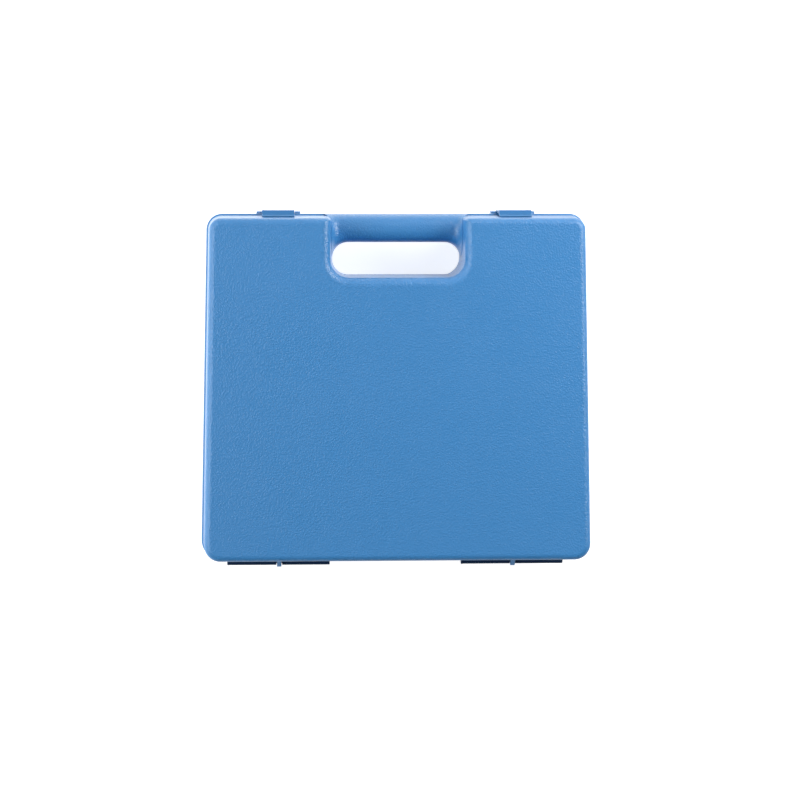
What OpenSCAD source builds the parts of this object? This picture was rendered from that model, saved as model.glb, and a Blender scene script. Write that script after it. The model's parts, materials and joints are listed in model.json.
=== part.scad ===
/* [Case] */
// Width across the hinge side, over the parting lip
case_w = 313; // [300:1:380]
// How much narrower the handle side is than the hinge side
taper = 11; // [0:0.5:14]
// Length from the handle edge to the hinge edge, over the parting lip
case_l = 277.5; // [240:0.5:340]
// Height from the base's floor to the middle of the seam
base_h = 40; // [36:0.5:60]
// Height from the middle of the seam to the lid's face
lid_h = 40; // [36:0.5:60]
// Plan radius of the two corners beside the handle
handle_corner_r = 12.5; // [11:0.5:20]
// Plan radius of the two corners beside the hinges
hinge_corner_r = 16; // [12:0.5:24]

/* [Shells] */
// Wall thickness of both shells
wall = 2.4; // [2:0.1:2.8]
// How far each side wall leans in between the seam and the face
draft = 2; // [1.6:0.1:2.6]
// Rounding of the edge between side wall and face
edge_r = 5; // [4:0.1:5.6]
// How far the parting lip stands proud of the side walls
lip_proud = 1.2; // [1:0.1:1.5]
// Height of the parting lip on each shell
lip_h = 2; // [1.6:0.1:2.6]
// Gap between the closed shells
seam = 0.2; // [0.1:0.05:0.3]
// Height of the locating tongue above the seam
tongue_h = 2.2; // [1.6:0.1:3]
// Thickness of the locating tongue
tongue_t = 1.2; // [1:0.1:1.6]
// Clearance between the tongue and the lid wall
tongue_gap = 0.4; // [0.35:0.05:0.6]

/* [Handle] */
// Length of the finger slot
slot_w = 102.4; // [90:0.4:112]
// Breadth of the finger slot
slot_h = 25.6; // [22:0.4:30]
// Breadth of the grip between the case edge and the slot
grip_w = 22.8; // [19:0.2:27]
// Thickness of the grip, both halves together
grip_t = 28; // [22:0.5:32]
// Radius of the soft edge round the handle pocket
flare_r = 6.5; // [5.5:0.5:10]
// How far the pocket walls open out towards the face
pocket_draft = 1.6; // [1.2:0.1:2.2]

/* [Latches] */
// Distance of each latch's middle from the case's widest side
latch_inset = 62.5; // [58:0.5:68]
// Width of the latch plate between its two side ribs
latch_w = 23.2; // [20:0.2:26]
// Thickness of the latch plate's side ribs
rib_t = 1.2; // [1:0.1:1.6]
// Width of each ear that carries the latch pin
ear_w = 4.4; // [4:0.1:6]
// How far the latch plate stands proud of the parting lip
latch_proud = 2.4; // [2.4:0.1:3.2]
// How much prouder the side ribs stand than the plate
rib_proud = 0.5; // [0.4:0.1:1.2]
// Depth of the latch pivot below the seam
pivot_drop = 17; // [14:0.5:20]
// Height of the latch's finger edge above the seam
latch_rise = 20; // [18:0.5:24]
// Height of the slope from the finger edge up to the lid's wall
cheek_h = 4; // [3:0.5:5]
// Height of the catch ridge's upper face above the seam
catch_rise = 10; // [8:0.5:12]
// Height of the catch ridge
catch_h = 3; // [2.5:0.1:4]
// Radius of the latch pins
latch_pin_r = 1; // [0.8:0.05:1.2]
// Radius of the latch knuckle round its pin
latch_knuckle_r = 2.3; // [2.1:0.1:2.6]
// Radius of the ears round the latch pin
ear_r = 2; // [1.7:0.1:2.1]

/* [Hinges] */
// Distance of each hinge's middle from the case's widest side
hinge_inset = 62.5; // [61:0.5:68]
// Width of each hinge block
hinge_w = 81; // [60:0.2:86]
// Height of each hinge block below the seam
hinge_drop = 18; // [16:0.5:24]
// Radius of the hinge barrel
barrel_r = 3; // [2.8:0.1:3.4]
// Distance of the hinge axis outside the parting lip
axis_out = 1.6; // [0.4:0.05:2]
// Thickness of the hinge block's plate
block_t = 3.5; // [3.2:0.1:3.6]
// Radius of the hinge pins
hinge_pin_r = 1.5; // [1.2:0.1:1.7]
// Thickness of the hinge pin's head
pin_head_t = 1.2; // [1:0.1:1.6]
// Width of the lid's lug in the middle of each hinge
lug_w = 3.6; // [3.4:0.1:5]
// Radius of the lug's eye
lug_r = 4.5; // [4.2:0.1:4.8]
// Height of the lug's root above the seam
lug_up = 9; // [8:0.5:10]

/* [Screws] */
// Distance of each screw from the middle of its hinge
screw_x = 25; // [18:0.5:28]
// Depth of the screws below the seam
screw_drop = 13; // [12:0.5:14]
// Radius of the screw shank
screw_r = 1.4; // [1.2:0.1:1.6]
// Radius of the screw head
screw_head_r = 2.6; // [2.4:0.1:3]
// Height of the screw head
screw_head_h = 1.8; // [1.5:0.1:2.2]
// Length of the screw shank
screw_l = 6; // [5.6:0.1:6.2]

/* [Foam] */
// Thickness of the flat foam in the base
base_foam_t = 10; // [6:0.5:16]
// Thickness of the foam in the lid
lid_foam_t = 18; // [8:0.5:22]

/* [Hidden] */
// Running clearance round pins, clearance of parts that pass each other, and slack round foam
pin_gap = 0.05;
free_gap = 0.3;
foam_gap = 0.2;
// How far cuts run past what they cut, and how finely arcs are drawn
overlap = 1;
arc_steps = 6;
hull_fn = 32;
$fn = 64;

// Reach past the parting lip at each end, and the y of the two edges
front_reach = latch_proud + rib_proud;
rear_reach = axis_out + lug_r;
handle_y = -(case_l + rear_reach - front_reach) / 2;
hinge_y = handle_y + case_l;

// Heights: z runs outwards from the seam on each shell
base_top = base_h - seam / 2;
lid_bottom = base_h + seam / 2;
axis_z = base_h;
axis_y = hinge_y + axis_out;

// Walls: depth of their inner face at the seam, and how deep a part rooted in them reaches
wall_in = lip_proud + wall;
root_in = lip_proud + 0.7 * wall;

// Finger slot and handle pocket
slot_r = slot_h / 2;
slot_y = handle_y + grip_w + slot_r;
slot_c = slot_w / 2 - slot_r;
pocket_run = slot_y - handle_y + 12;
grip_power = 0.85;
grip_root = 0.6 * wall;
web_h = 0.55 * grip_t / 2;

// Latch: place of its pivot, plate width over its ribs, and ear places
latch_x = case_w / 2 - latch_inset;
pivot_y = handle_y - latch_proud + latch_knuckle_r;
plate_w = latch_w + 2 * rib_t;
ear_x = plate_w / 2 + free_gap;
ear_y = pivot_y - ear_r;
catch_y = handle_y + 0.1;
hook_y = handle_y + 0.75 * lip_proud;
hook_top = -catch_rise - free_gap;
hook_foot = hook_top - catch_h - overlap;
cheek_top = -latch_rise - cheek_h;
cheek_y = wall_y(-cheek_top) - free_gap;
cheek_flat = 0.6;

// Hinge: its place, seat of the block, cut that frees block and pin head, gap and pocket for the lug
hinge_x = case_w / 2 - hinge_inset;
seat_y = hinge_y - lip_proud - free_gap;
hinge_cut_w = hinge_w + 2 * (pin_head_t + 2 * free_gap);
barrel_cut_r = barrel_r + 2 * free_gap;
pin_head_r = barrel_r + free_gap;
lug_gap_w = lug_w + 3 * free_gap;
lug_pocket_r = lug_r + free_gap;
boss_y = hinge_y - wall_in - 0.6 * wall;
boss_r = screw_head_r + 0.6 * wall;

// Half the case width at a given y, over the parting lip
function half_width(y) = case_w / 2 - taper / 2 * (hinge_y - y) / case_l;

// The y of the lid's handle wall, over its drafted part, at a height above the seam
function wall_y(rise) = handle_y + lip_proud + draft * rise / (lid_h - edge_r);

// The four plan corners as [x, y, radius]
function corners() = [
    for (side = [-1, 1], place = [[handle_y + handle_corner_r, handle_corner_r],
                                  [hinge_y - hinge_corner_r, hinge_corner_r]])
        [side * (half_width(place[0]) - place[1]), place[0], place[1]]
];

// Outline of one rounded corner post, from the seam out to the face
function post_points(r, h, skin, start) = concat(
    [[0, start], [r - lip_proud - skin, start]],
    [for (i = [0 : arc_steps]) let (a = 90 * i / arc_steps, e = edge_r - skin)
        [r - lip_proud - draft - skin - e * (1 - cos(a)), h - edge_r + e * sin(a)]],
    [[0, h - skin]]
);

// Outline of the handle pocket's wall, grown by skin, from the slot's centre line outwards
function pocket_points(skin, h) = concat(
    [[0, -overlap], [slot_r + skin, -overlap], [slot_r + skin, 0]],
    [for (i = [0 : arc_steps]) let (a = 84 * i / arc_steps, e = flare_r - skin)
        [slot_r + pocket_draft + flare_r - e * cos(a), h - flare_r + e * sin(a)]],
    [[slot_r + pocket_draft + flare_r - (flare_r - skin) * cos(84), h + overlap],
     [0, h + overlap]]
);

// Half of the grip's rounded section, inset by the given depth
function grip_points(inset) = [
    for (i = [0 : 4 * arc_steps]) let (a = 180 * i / (4 * arc_steps))
        [(grip_w / 2 - inset) * sign(cos(a)) * pow(abs(cos(a)), grip_power),
         (grip_t / 2 - inset) * pow(sin(a), grip_power)]
];

// Puts a profile drawn as [y, z] on its own plane and extrudes it along x, centred
module along_x(width) {
    rotate([90, 0, 90]) linear_extrude(width, center = true) children();
}

// The same rounded trapezoid as the case's outline, inset by a given distance
module plan(inset) {
    hull() {
        for (c = corners()) translate([c[0], c[1]]) circle(c[2] - inset, $fn = hull_fn);
    }
}

module corner_block(h, skin, start) {
    hull() {
        for (c = corners()) {
            translate([c[0], c[1], 0])
                rotate_extrude($fn = hull_fn) polygon(post_points(c[2], h, skin, start));
        }
    }
}

module pocket(skin, h) {
    translate([0, slot_y, 0]) along_x(2 * slot_c) polygon(pocket_points(skin, h));
    translate([-slot_c, slot_y - pocket_run, -overlap])
        cube([2 * slot_c, pocket_run, h + 2 * overlap]);
    for (side = [0, 1]) {
        mirror([side, 0, 0]) translate([slot_c, slot_y, 0]) {
            rotate([90, 0, 0]) linear_extrude(pocket_run) polygon(pocket_points(skin, h));
            rotate_extrude(angle = 90) polygon(pocket_points(skin, h));
        }
    }
}

// Half of the grip, with the webs that round the slot's corners beside it
module grip_half() {
    difference() {
        translate([0, handle_y + grip_w / 2, 0])
            along_x(slot_w + 2 * grip_root) polygon(grip_points(0));
        translate([0, handle_y + grip_w / 2, -overlap / 2])
            along_x(slot_w) polygon(grip_points(wall));
    }
    for (side = [0, 1]) {
        mirror([side, 0, 0]) linear_extrude(web_h) difference() {
            translate([slot_c, slot_y - slot_r - wall])
                square([slot_r + grip_root, slot_r + wall]);
            translate([slot_c, slot_y]) circle(slot_r);
        }
    }
}

// Outer form of a shell half: drafted block and parting lip
module shell_form(h) {
    corner_block(h, 0, 0);
    linear_extrude(lip_h) plan(0);
}

// Places what a shell half carries at both hinges or both latches
module at_both(x) {
    for (side = [-1, 1]) translate([side * x, 0, 0]) children();
}

module hinge_axis_cylinder(r, width) {
    translate([0, axis_y, 0]) rotate([0, 90, 0]) cylinder(h = width, r = r, center = true);
}

// Everything on the base's hinge wall is drawn with z running down from the seam
module hinge_seat() {
    translate([-hinge_cut_w / 2, hinge_y - root_in, 0])
        cube([hinge_cut_w, seat_y - hinge_y + root_in, hinge_drop]);
}

module hinge_seat_cut() {
    translate([-hinge_cut_w / 2, seat_y, -overlap])
        cube([hinge_cut_w, wall_in, hinge_drop + overlap]);
    translate([0, 0, -seam / 2]) hinge_axis_cylinder(barrel_cut_r, hinge_cut_w);
    translate([0, 0, -seam / 2]) hinge_axis_cylinder(lug_pocket_r, lug_gap_w);
}

// Solid kept inside the wall: a block behind the lug's pocket and a boss at each screw
module hinge_inner_boss() {
    back_y = axis_y - lug_pocket_r - wall;
    translate([-lug_gap_w / 2 - wall, back_y, -overlap])
        cube([lug_gap_w + 2 * wall, hinge_y - root_in - back_y, lug_pocket_r + wall + overlap]);
    for (side = [-1, 1]) {
        translate([side * screw_x, boss_y, screw_drop])
            rotate([-90, 0, 0]) cylinder(h = wall_in, r = boss_r);
    }
}

module screw_holes(r, depth) {
    for (side = [-1, 1]) {
        translate([side * screw_x, boss_y - overlap, screw_drop])
            rotate([-90, 0, 0]) cylinder(h = depth + overlap, r = r);
    }
}

// Ring that locates the lid: rooted in the base's wall, left out at the handle and the hinges
module tongue() {
    cut_h = 6 * tongue_h;
    cut_y = wall_in + 3 * tongue_t;
    difference() {
        union() {
            translate([0, 0, tongue_gap]) linear_extrude(2 * tongue_h)
                plan(wall_in - tongue_gap / 2);
            translate([0, 0, -tongue_h]) linear_extrude(2 * tongue_h)
                plan(wall_in + tongue_gap);
        }
        translate([0, 0, -cut_h / 2]) linear_extrude(cut_h)
            plan(wall_in + tongue_gap + tongue_t);
        translate([-slot_w / 2 - 2 * wall, handle_y - overlap, -cut_h / 2])
            cube([slot_w + 4 * wall, cut_y + overlap, cut_h]);
        at_both(hinge_x) translate([-hinge_cut_w / 2 - wall, hinge_y - cut_y, -cut_h / 2])
            cube([hinge_cut_w + 2 * wall, cut_y + overlap, cut_h]);
    }
}

// The latches too are drawn with z running down from the seam
module ear() {
    root_y = handle_y + root_in;
    along_x(ear_w) {
        polygon([[root_y, pivot_drop * 0.3], [handle_y - latch_proud / 2, pivot_drop * 0.3],
            [ear_y, pivot_drop * 0.45], [ear_y, pivot_drop], [pivot_y, pivot_drop],
            [pivot_y, pivot_drop + ear_r], [root_y, pivot_drop + ear_r]]);
        translate([pivot_y, pivot_drop]) circle(ear_r);
    }
}

module latch_axis_cylinder(r, width) {
    translate([0, pivot_y, pivot_drop]) rotate([0, 90, 0])
        cylinder(h = width, r = r, center = true);
}

module base_shell() {
    h = base_top;
    ear_centre = ear_x + ear_w / 2;
    color([0.28, 0.53, 0.74]) translate([0, 0, base_top]) mirror([0, 0, 1]) {
        difference() {
            union() {
                difference() {
                    union() {
                        shell_form(h);
                        at_both(hinge_x) hinge_seat();
                    }
                    difference() {
                        corner_block(h, wall, -overlap);
                        pocket(wall, h);
                        at_both(hinge_x) hinge_inner_boss();
                    }
                    pocket(0, h);
                    at_both(hinge_x) hinge_seat_cut();
                    at_both(hinge_x) screw_holes(screw_r + free_gap / 2, screw_l);
                    at_both(latch_x)
                        latch_axis_cylinder(latch_knuckle_r + free_gap, 2 * ear_x);
                }
                at_both(latch_x) at_both(ear_centre) ear();
                grip_half();
                tongue();
            }
            at_both(latch_x)
                latch_axis_cylinder(latch_pin_r + pin_gap / 2, 2 * (ear_x + ear_w + overlap));
        }
    }
}

// The lid's lug: a root on the wall and a round eye on the hinge axis
module lug() {
    along_x(lug_w) {
        polygon([[hinge_y - root_in, 0], [hinge_y - root_in, lug_up],
            [hinge_y - lip_proud + 0.2, lug_up], [axis_y + lug_r * 0.75, lug_r * 0.5],
            [axis_y, 0]]);
        translate([axis_y, -seam / 2]) circle(lug_r);
    }
}

module lid_hinge_thickening() {
    translate([-hinge_cut_w / 2, hinge_y - wall_in - wall, -overlap])
        cube([hinge_cut_w, 2 * wall, barrel_cut_r + wall + overlap]);
}

module catch_ridge() {
    translate([-latch_w / 2, catch_y, catch_rise - catch_h])
        cube([latch_w, root_in, catch_h]);
}

module lid_shell() {
    h = base_h + lid_h - lid_bottom;
    color([0.28, 0.53, 0.74]) translate([0, 0, lid_bottom]) {
        difference() {
            union() {
                difference() {
                    union() {
                        shell_form(h);
                        at_both(latch_x) catch_ridge();
                    }
                    difference() {
                        corner_block(h, wall, -overlap);
                        pocket(wall, h);
                        at_both(hinge_x) lid_hinge_thickening();
                    }
                    pocket(0, h);
                    at_both(hinge_x) translate([0, 0, -seam / 2])
                        hinge_axis_cylinder(barrel_cut_r, hinge_cut_w);
                }
                at_both(hinge_x) lug();
                grip_half();
            }
            at_both(hinge_x) translate([0, 0, -seam / 2])
                hinge_axis_cylinder(hinge_pin_r + pin_gap, 2 * lug_w);
        }
    }
}

// Latch plate with its hook, side ribs and knuckle
module latch() {
    out = handle_y - latch_proud;
    in = handle_y - free_gap;
    difference() {
        union() {
            along_x(plate_w) {
                polygon([[out, pivot_drop], [out, hook_foot], [out - rib_proud, -latch_rise + overlap],
                    [out - rib_proud, -latch_rise], [handle_y, -latch_rise],
                    [cheek_y - cheek_flat, cheek_top], [cheek_y, cheek_top],
                    [hook_y, hook_foot], [hook_y, hook_top], [in, hook_top], [in, pivot_drop]]);
                translate([pivot_y, pivot_drop]) circle(latch_knuckle_r);
            }
            at_both(latch_w / 2 + rib_t / 2)
                translate([-rib_t / 2, out - rib_proud, hook_foot])
                    cube([rib_t, latch_proud + rib_proud - free_gap, pivot_drop - hook_foot]);
        }
        latch_axis_cylinder(latch_pin_r + pin_gap, 2 * plate_w);
    }
}

module placed_latch(side) {
    color([0.28, 0.50, 0.70]) translate([side * latch_x, 0, base_top]) mirror([0, 0, 1]) latch();
}

module left_latch() {
    placed_latch(1);
}

module right_latch() {
    placed_latch(-1);
}

module latch_pin(side) {
    color("silver") translate([side * latch_x, 0, base_top]) mirror([0, 0, 1])
        latch_axis_cylinder(latch_pin_r, 2 * (ear_x + ear_w));
}

module left_latch_pin() {
    latch_pin(1);
}

module right_latch_pin() {
    latch_pin(-1);
}

// Hinge block: plate on the base's wall, barrel on the hinge axis, gap for the lid's lug
module hinge_block(side) {
    color([0.03, 0.15, 0.28]) translate([side * hinge_x, 0, base_top]) mirror([0, 0, 1]) {
        difference() {
            union() {
                translate([-hinge_w / 2, seat_y, -seam / 2])
                    cube([hinge_w, block_t, hinge_drop + seam / 2]);
                translate([0, 0, -seam / 2]) hinge_axis_cylinder(barrel_r, hinge_w);
            }
            translate([-lug_gap_w / 2, seat_y - barrel_r, -barrel_r - overlap])
                cube([lug_gap_w, axis_y - seat_y + 2 * barrel_r + overlap,
                    lug_up + barrel_r + 2 * overlap]);
            translate([0, 0, -seam / 2])
                hinge_axis_cylinder(hinge_pin_r + pin_gap, hinge_w + overlap);
            screw_holes(screw_r + pin_gap, screw_l + free_gap);
        }
    }
}

module left_hinge_block() {
    hinge_block(1);
}

module right_hinge_block() {
    hinge_block(-1);
}

// Moulded pin with a chamfered head at its +x end
module hinge_pin(side) {
    chamfer = pin_head_t / 2;
    color([0.03, 0.13, 0.25]) translate([side * hinge_x - hinge_w / 2, axis_y, axis_z])
        rotate([0, 90, 0]) rotate_extrude() polygon([[0, 0], [hinge_pin_r, 0],
            [hinge_pin_r, hinge_w + pin_gap], [pin_head_r, hinge_w + pin_gap],
            [pin_head_r, hinge_w + pin_gap + pin_head_t - chamfer],
            [pin_head_r - chamfer, hinge_w + pin_gap + pin_head_t],
            [0, hinge_w + pin_gap + pin_head_t]]);
}

module left_hinge_pin() {
    hinge_pin(1);
}

module right_hinge_pin() {
    hinge_pin(-1);
}

// Four pan head screws, driven from inside the base into the hinge blocks
module hinge_screws() {
    recess = screw_head_h / 2;
    color("silver") for (side = [-1, 1], place = [-1, 1]) {
        translate([side * hinge_x + place * screw_x, boss_y, base_top - screw_drop]) {
            rotate([-90, 0, 0]) cylinder(h = screw_l, r = screw_r);
            difference() {
                rotate([90, 0, 0]) cylinder(h = screw_head_h, r = screw_head_r);
                for (turn = [0, 90]) {
                    translate([0, -screw_head_h, 0]) rotate([0, turn, 0])
                        cube([2 * screw_r, 2 * recess, screw_r / 2], center = true);
                }
            }
        }
    }
}

// Foam outline: the shell's floor without the handle pocket and its soft edge
module foam_plan() {
    notch_r = slot_r + pocket_draft + flare_r + 2 * free_gap;
    difference() {
        plan(lip_proud + draft + edge_r + 2 * free_gap);
        for (side = [-1, 1]) translate([side * slot_c, slot_y]) circle(notch_r);
        translate([-slot_c, handle_y]) square([2 * slot_c, slot_y - handle_y + notch_r]);
        translate([-slot_c - notch_r, handle_y])
            square([2 * (slot_c + notch_r), slot_y - handle_y]);
    }
}

module base_foam() {
    color([0.25, 0.25, 0.27]) translate([0, 0, wall + foam_gap])
        linear_extrude(base_foam_t) foam_plan();
}

module lid_foam() {
    color([0.25, 0.25, 0.27]) translate([0, 0, base_h + lid_h - wall - foam_gap - lid_foam_t])
        linear_extrude(lid_foam_t) foam_plan();
}

base_shell();
lid_shell();
left_latch();
right_latch();
left_latch_pin();
right_latch_pin();
left_hinge_block();
right_hinge_block();
left_hinge_pin();
right_hinge_pin();
hinge_screws();
base_foam();
lid_foam();
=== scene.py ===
import json
import math

import bmesh
import bpy
from mathutils import Matrix, Vector


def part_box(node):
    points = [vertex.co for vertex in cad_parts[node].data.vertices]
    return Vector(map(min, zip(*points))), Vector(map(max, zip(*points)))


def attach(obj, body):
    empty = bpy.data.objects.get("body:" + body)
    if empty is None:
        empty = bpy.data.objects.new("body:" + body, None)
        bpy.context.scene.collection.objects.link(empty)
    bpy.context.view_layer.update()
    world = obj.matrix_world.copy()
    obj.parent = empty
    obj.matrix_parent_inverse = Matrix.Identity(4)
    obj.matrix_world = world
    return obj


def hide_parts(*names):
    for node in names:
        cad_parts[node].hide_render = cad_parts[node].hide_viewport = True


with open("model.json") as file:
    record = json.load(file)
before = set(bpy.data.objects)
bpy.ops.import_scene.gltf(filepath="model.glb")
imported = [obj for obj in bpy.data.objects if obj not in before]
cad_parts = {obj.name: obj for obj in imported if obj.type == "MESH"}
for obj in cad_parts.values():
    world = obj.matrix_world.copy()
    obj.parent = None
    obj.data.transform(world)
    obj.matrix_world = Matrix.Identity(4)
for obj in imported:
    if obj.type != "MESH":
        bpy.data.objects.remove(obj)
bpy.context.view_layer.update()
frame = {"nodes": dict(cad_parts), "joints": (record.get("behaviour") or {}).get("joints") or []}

# Lengths are in millimetres until a mesh is made. Places come from the frame's boxes and joint axes.
MM = 0.001
joints = {joint["name"]: joint for joint in frame["joints"]}


def corners_mm(node):
    low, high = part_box(node)
    return low / MM, high / MM


def axis_mm(joint):
    return Vector(joints[joint]["pos_m"]) / MM


LID_LOW, LID_HIGH = corners_mm("lid_shell")
HINGE_LOW, HINGE_HIGH = corners_mm("left_hinge_block")
HINGE_AXIS = axis_mm("lid_hinge")
LATCH_AXIS = axis_mm("left_latch_pivot")

# Clearances, how far a cutter runs past what it cuts, and how far a joined block stays off the seam
PIN_GAP = 0.05
FREE_GAP = 0.3
PAST = 1.0
OFF_SEAM = 0.01

# Case
HANDLE_Y = LID_LOW.y
HINGE_Y = corners_mm("base_shell")[1].y
CASE_W = 313
TAPER = 11
HANDLE_CORNER_R = 12.5
HINGE_CORNER_R = 16
SEAM = 0.2
SEAM_Z = HINGE_AXIS.z
BASE_TOP = SEAM_Z - SEAM / 2
LID_BOTTOM = SEAM_Z + SEAM / 2
BASE_H = BASE_TOP
LID_H = LID_HIGH.z - LID_BOTTOM

# Shell walls
WALL = 2.4
DRAFT = 2
EDGE_R = 5
LIP_PROUD = 1.2
LIP_H = 2
SEAM_ROUND = 0.25
LIP_ROUND = 0.9
LIP_ROOT_R = 0.35
LIP_FOOT = LIP_PROUD - LIP_ROOT_R / 2
LIP_FILLET = ((0.1, 0.1), (0.15, LIP_ROOT_R))
POCKET_LEVELS = (0.6, 1.0, 1.4, 1.8, 2.2, 2.6)
FACE_MARGINS = (0.8, 2.4)
TONGUE_H = 2.2
TONGUE_T = 1.2
TONGUE_GAP = 0.4
TONGUE_ROUND = 0.4
TONGUE_FOOT = 0.3
WALL_IN = LIP_PROUD + WALL
ROOT_IN = LIP_PROUD + 0.7 * WALL
HANDLE_ROOT_Y = HANDLE_Y + ROOT_IN
HINGE_ROOT_Y = HINGE_Y - ROOT_IN

# Steps round a quarter of a wall's edge, round a cylinder, and along each stretch of a half's rings
ARC_STEPS = 9
ROD_STEPS = 48
SLOT_BACK_STEPS = 5
SLOT_END_STEPS = 14
POCKET_SIDE_STEPS = 6
POCKET_CORNER_STEPS = 8
HANDLE_EDGE_STEPS = 10
CORNER_STEPS = 12
SIDE_STEPS = 24
HINGE_EDGE_STEPS = 14

# Where a rounded corner drawn with one point in its middle has that point, as a share of its radius
ROUND_MIDDLE = 0.3

# Handle
SLOT_W = 102.4
SLOT_H = 25.6
GRIP_W = 22.8
GRIP_T = 28
GRIP_POWER = 0.85
FLARE_R = 6.5
POCKET_DRAFT = 1.6
POCKET_CORNER_R = 5.5
SHARPEST_CORNER = 0.7
GRIP_BLEND_R = 7.5
GRIP_BLEND_REACH = 0.97 * GRIP_BLEND_R
GRIP_MIDDLE_STEPS = 5
GRIP_STEPS = 24
GRIP_ROOT = SLOT_W / 2 + 0.75 * WALL
GRIP_END = SLOT_W / 2 - 2
GRIP_EDGE_BAND = 3.2
GRIP_EDGE_SPREAD = 4.4
SLOT_R = SLOT_H / 2
SLOT_C = SLOT_W / 2 - SLOT_R
SLOT_Y = HANDLE_Y + GRIP_W + SLOT_R

# Latches
LATCH_X = LATCH_AXIS.x
LATCH_W = 23.2
RIB_T = 1.2
EAR_W = 4.4
LATCH_PROUD = 2.4
RIB_PROUD = 0.5
LATCH_RISE = 20
CHEEK_H = 4
CHEEK_FLAT = 0.6
CATCH_RISE = 10
CATCH_H = 3
LATCH_PIN_R = 1
KNUCKLE_R = 2.3
EAR_R = 2
PIVOT_Y = LATCH_AXIS.y
PIVOT_DROP = BASE_TOP - LATCH_AXIS.z
PIVOT_AT = (PIVOT_Y, PIVOT_DROP)
EAR_TOP = 0.3 * PIVOT_DROP
EAR_SHOULDER = 0.45 * PIVOT_DROP
EAR_STEPS = 10
KNUCKLE_START = -92.5
KNUCKLE_STEPS = 30
PLATE_W = LATCH_W + 2 * RIB_T
EAR_X = PLATE_W / 2 + FREE_GAP
LATCH_OUT_Y = HANDLE_Y - LATCH_PROUD
LATCH_PROUD_Y = LATCH_OUT_Y - RIB_PROUD
LATCH_EDGE_H = 0.8
RIB_ROOT_Y = LATCH_OUT_Y + 0.8
RIB_TOP = -0.9 * LATCH_RISE
RIB_SLOPE_H = 2
CATCH_TIP_Y = HANDLE_Y + 0.1
CATCH_TIP_H = 1.2
CATCH_TOP_Y = HANDLE_Y + 0.9
SERRATIONS = 4
SERRATION_FIRST = -0.62 * LATCH_RISE
SERRATION_STEP = 1.6
SERRATION_HALF_W = 0.42 * LATCH_W
SERRATION_HALF_H = 0.35
RECESS_HALF_W = 0.4 * LATCH_W
RECESS_TOP = -5
RECESS_FOOT = 12
RECESS_DEPTH = 0.35

# Hinges
HINGE_X = (HINGE_LOW.x + HINGE_HIGH.x) / 2
HINGE_W = HINGE_HIGH.x - HINGE_LOW.x
AXIS_Y = HINGE_AXIS.y
AXIS_AT = (AXIS_Y, -SEAM / 2)
HINGE_DROP = 18
BARREL_R = 3
BLOCK_T = 3.5
HINGE_PIN_R = 1.5
LUG_W = 3.6
LUG_R = 4.5
LUG_UP = 9
LUG_FOOT = 0.1
LUG_EYE_STEPS = 24
SCREW_X = 25
SCREW_DROP = 13
SCREW_R = 1.4
SCREW_HEAD_R = 2.6
PIN_HEAD_T = 1.2
KNUCKLES = 3
SEAT_Y = HINGE_Y - LIP_PROUD - FREE_GAP
PLATE_OUT_Y = SEAT_Y + BLOCK_T
CORE_OUT_W = HINGE_W / 2 - 8
CORE_OUT_X = HINGE_W / 4 + 1.2
CORE_OUT_TOP = 6.5
CORE_OUT_FOOT = 15
CORE_OUT_DEPTH = 0.9
HINGE_CUT_W = HINGE_W + 2 * (PIN_HEAD_T + 2 * FREE_GAP)
BARREL_CUT_R = BARREL_R + 2 * FREE_GAP
LUG_GAP_W = LUG_W + 3 * FREE_GAP
BOSS_Y = HINGE_Y - WALL_IN - 0.6 * WALL
BOSS_ROOT_R = SCREW_HEAD_R + 0.6 * WALL
BOSS_END_R = SCREW_HEAD_R + 0.5 * WALL
BOSS_END_ROUND = 0.5
BOSS_STEPS = 40
SCREW_HOLE_STEPS = 32

# Material slots of a shell: grained outside, smooth inside
OUTSIDE = 0
INSIDE = 1


# ---------------------------------------------------------------- mesh tools


def new_object(name, points, faces, kinds=None):
    """A mesh object from points in millimetres; kinds holds each face's material index."""
    mesh = bpy.data.meshes.new(name)
    mesh.from_pydata([Vector(p) * MM for p in points], [], faces)
    if kinds:
        mesh.polygons.foreach_set("material_index", kinds)
    mesh.update()
    obj = bpy.data.objects.new(name, mesh)
    bpy.context.scene.collection.objects.link(obj)
    return obj


def loft(name, rings, kinds=None):
    """A closed solid through rings of as many points each, capped at both ends."""
    count = len(rings[0])
    points = [p for ring in rings for p in ring]
    faces = [list(reversed(range(count)))]
    for k in range(len(rings) - 1):
        low, high = k * count, (k + 1) * count
        for i in range(count):
            j = (i + 1) % count
            faces.append([low + i, low + j, high + j, high + i])
    faces.append(list(range(len(points) - count, len(points))))
    face_kinds = None
    if kinds:
        face_kinds = [kinds[0]] + [kind for kind in kinds[1:-1] for _ in range(count)] + [kinds[-1]]
    return new_object(name, points, faces, face_kinds)


def outward(obj):
    """Turns all faces outward."""
    bm = bmesh.new()
    bm.from_mesh(obj.data)
    bmesh.ops.recalc_face_normals(bm, faces=bm.faces)
    bm.to_mesh(obj.data)
    bm.free()
    return obj


def round_edges(obj, radius):
    """Rounds the edges at which faces turn by more than 30 degrees."""
    bm = bmesh.new()
    bm.from_mesh(obj.data)
    limit = math.radians(30)
    edges = [e for e in bm.edges if e.is_manifold and e.calc_face_angle() > limit]
    bmesh.ops.bevel(bm, geom=edges, offset=radius * MM, segments=2, profile=0.5,
                    affect="EDGES", clamp_overlap=True)
    bm.to_mesh(obj.data)
    bm.free()
    return obj


def of_kind(obj, kind):
    """Gives all faces one material slot."""
    obj.data.polygons.foreach_set("material_index", [kind] * len(obj.data.polygons))
    return obj


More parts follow.
